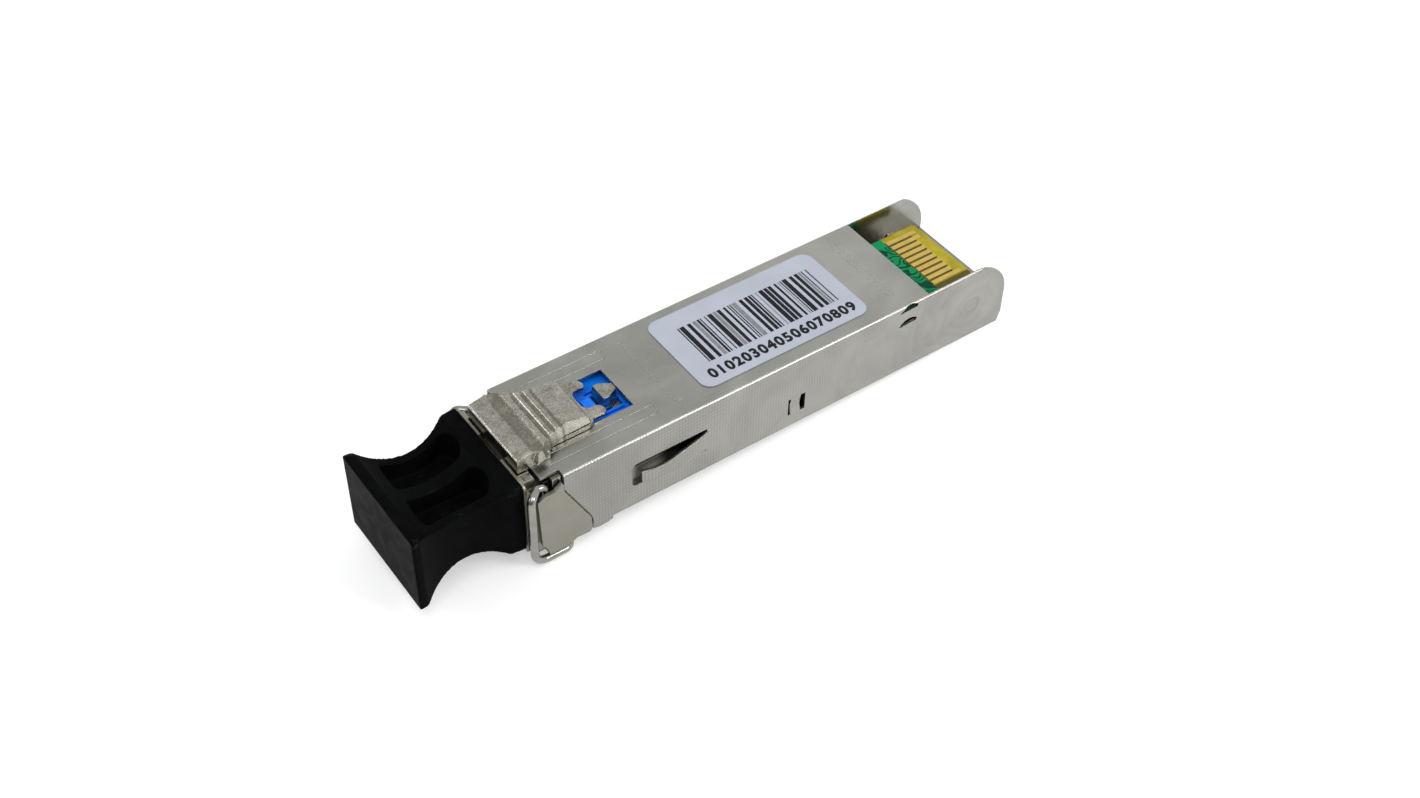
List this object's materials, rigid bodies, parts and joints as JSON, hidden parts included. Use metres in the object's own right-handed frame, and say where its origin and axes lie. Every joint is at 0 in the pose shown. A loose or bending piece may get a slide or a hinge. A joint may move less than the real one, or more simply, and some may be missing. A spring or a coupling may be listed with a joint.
{
  "type": "optical transceiver module",
  "caption": "Pluggable duplex optical transceiver module in a plated metal case, with a bail latch, a sliding ejector, exposed edge contacts and a pull-out dust plug.",
  "frame": {"origin": "on the lower flat face and the centre plane, level with the latch boss's flat front face (the latch shoulder)", "axes": "+X towards the edge connector, +Z towards the latch side, +Y across the module towards the receiver port"},
  "size_m": [0.0678, 0.0146, 0.0121],
  "materials": {
    "plated_casting": "satin nickel-plated zinc casting, slightly grained",
    "plated_sheet": "satin plated sheet steel with a fine cross grain",
    "granular_casting": "rough granular nickel-plated casting",
    "steel_wire": "smooth drawn stainless wire",
    "blue_plastic": "moulded plastic, semi-gloss",
    "label_paper": "printed polyester label, matt",
    "black_plastic": "moulded, slight sheen",
    "turned_steel": "turned stainless steel",
    "white_ceramic": "ground zirconia",
    "optical_glass": "clear, polished",
    "can_metal": "plated metal-can package",
    "flex_film": "polyimide film",
    "board_laminate": "glass-epoxy laminate with green solder mask",
    "gold_plating": "hard gold plating",
    "chip_resin": "moulded epoxy",
    "capacitor_ceramic": "sintered, matt",
    "resistor_ceramic": "glazed black",
    "ferrite": "sintered ferrite, matt"
  },
  "bodies": {
    "module": {"chassis": "plated_casting", "shell": "plated_sheet", "latch_cover": "granular_casting", "latch_insert": "blue_plastic", "latch_boss": "granular_casting", "label": "label_paper", "tosa_barrel": "turned_steel", "tosa_sleeve": "white_ceramic", "tosa_stub": "white_ceramic", "tosa_weld_ring": "turned_steel", "tosa_can": "can_metal", "tosa_flex": "flex_film", "rosa_barrel": "turned_steel", "rosa_sleeve": "white_ceramic", "rosa_lens": "optical_glass", "rosa_weld_ring": "turned_steel", "rosa_can": "can_metal", "rosa_flex": "flex_film", "main_board": "board_laminate", "edge_contacts_top": "gold_plating", "edge_contacts_bottom": "gold_plating", "laser_driver_chip": "chip_resin", "limiting_amplifier_chip": "chip_resin", "controller_chip": "chip_resin", "memory_chip": "chip_resin", "chip_capacitors": "capacitor_ceramic", "chip_resistors": "resistor_ceramic", "ferrite_beads": "ferrite", "power_inductors": "ferrite"},
    "bail": {"bail": "steel_wire"},
    "slide": {"kickout_slide": "granular_casting"},
    "plug": {"dust_plug": "black_plastic"}
  },
  "joints": [
    {"name": "bail_swing", "type": "hinge", "parent": "module", "child": "bail", "pos_m": [-0.0094, 0, 0.00635], "axis": [0, 1, 0], "range_deg": [0, 60]},
    {"name": "kickout_travel", "type": "slide", "parent": "module", "child": "slide", "axis": [1, 0, 0], "range_m": [0, 0.0011]},
    {"name": "dust_plug_pull", "type": "slide", "parent": "module", "child": "plug", "axis": [-1, 0, 0], "range_m": [0, 0.025]}
  ],
  "couplings": [
    {"joint": "bail_swing", "follows": "kickout_travel", "rad_per_m": 951.9}
  ]
}
